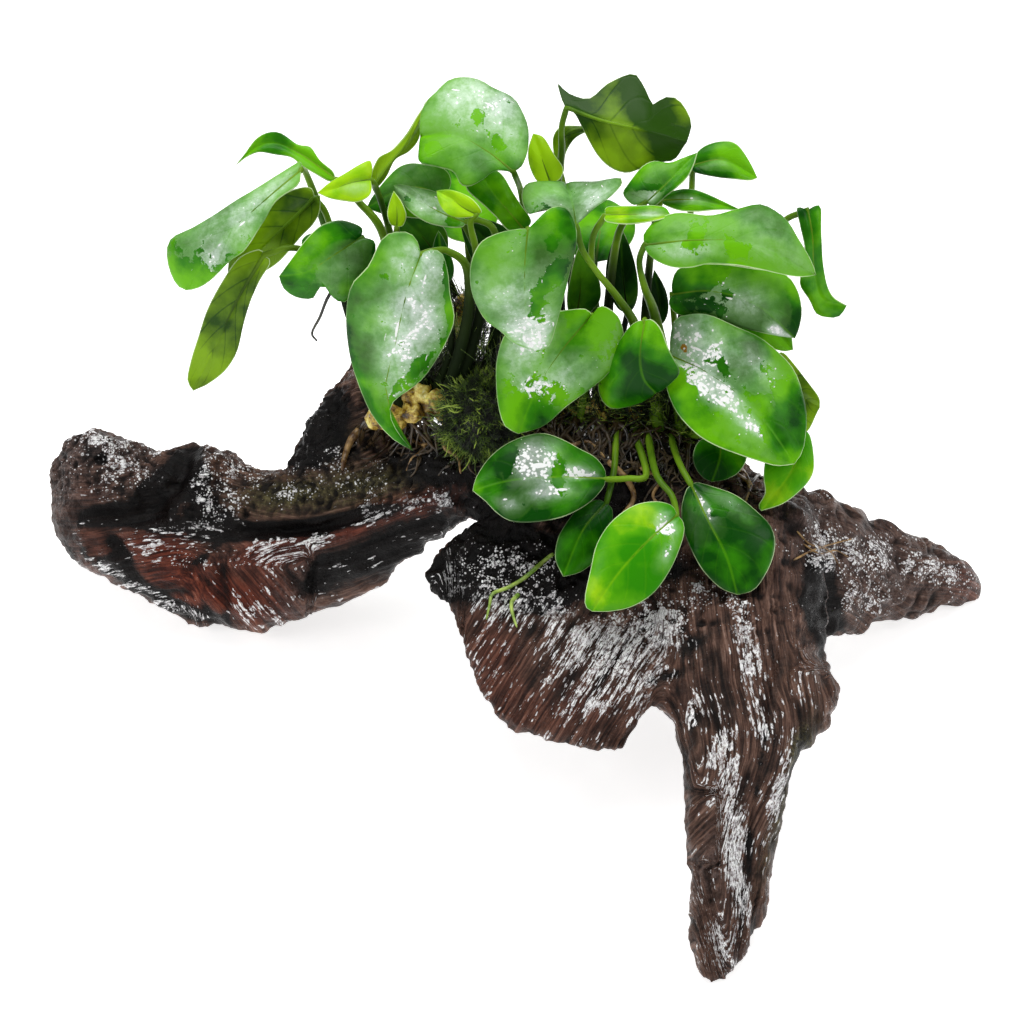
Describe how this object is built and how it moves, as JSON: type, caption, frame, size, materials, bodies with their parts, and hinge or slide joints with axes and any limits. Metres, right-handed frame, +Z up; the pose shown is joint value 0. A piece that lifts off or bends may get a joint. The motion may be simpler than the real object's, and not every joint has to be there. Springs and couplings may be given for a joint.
{
  "type": "anubias plant on driftwood",
  "caption": "Broad-leaved aquarium plant rooted on a dark branching piece of driftwood that stands on three feet.",
  "frame": {"origin": "on the floor, under the middle of the whole piece", "axes": "+Z up, +X to the right as seen from the front, -Y towards the front"},
  "size_m": [0.315, 0.2439, 0.1851],
  "materials": {
    "driftwood": "wet, dark, satin",
    "leaf": "waxy green leaf, wet",
    "young_leaf": "waxy yellow-green young leaf",
    "rhizome": "tan plant stem, satin",
    "root": "thin green root",
    "moss": "fine dark moss"
  },
  "bodies": {
    "root": {"rhizome": "rhizome", "rhizome_shoot": "rhizome", "root_slab": "root", "root_slab_side": "root", "root_left": "root", "moss_pad": "moss", "wood_left_arm": "driftwood", "wood_back_stub": "driftwood", "wood_trunk": "driftwood", "wood_slab": "driftwood", "wood_leg": "driftwood", "wood_right_arm": "driftwood", "leaf_01": "leaf", "leaf_02": "leaf", "leaf_03": "leaf", "leaf_04": "leaf", "leaf_05": "young_leaf", "leaf_06": "leaf", "leaf_07": "leaf", "leaf_08": "leaf", "leaf_09": "young_leaf", "leaf_10": "leaf", "leaf_11": "young_leaf", "leaf_12": "leaf", "leaf_13": "leaf", "leaf_14": "leaf", "leaf_15": "leaf", "leaf_16": "leaf", "leaf_17": "leaf", "leaf_18": "leaf", "leaf_19": "leaf", "leaf_20": "young_leaf", "leaf_21": "leaf", "leaf_22": "leaf", "leaf_23": "leaf", "leaf_24": "leaf", "leaf_25": "young_leaf", "leaf_26": "leaf", "leaf_27": "leaf", "leaf_28": "leaf", "leaf_29": "leaf", "leaf_30": "leaf", "leaf_31": "leaf", "leaf_32": "leaf", "leaf_33": "young_leaf", "leaf_34": "leaf", "leaf_35": "leaf", "leaf_36": "young_leaf", "leaf_37": "leaf", "leaf_38": "leaf", "leaf_39": "leaf", "leaf_40": "leaf", "leaf_41": "leaf", "leaf_42": "leaf", "leaf_43": "leaf", "leaf_44": "leaf", "leaf_45": "leaf", "leaf_46": "leaf", "leaf_47": "leaf"}
  },
  "joints": []
}
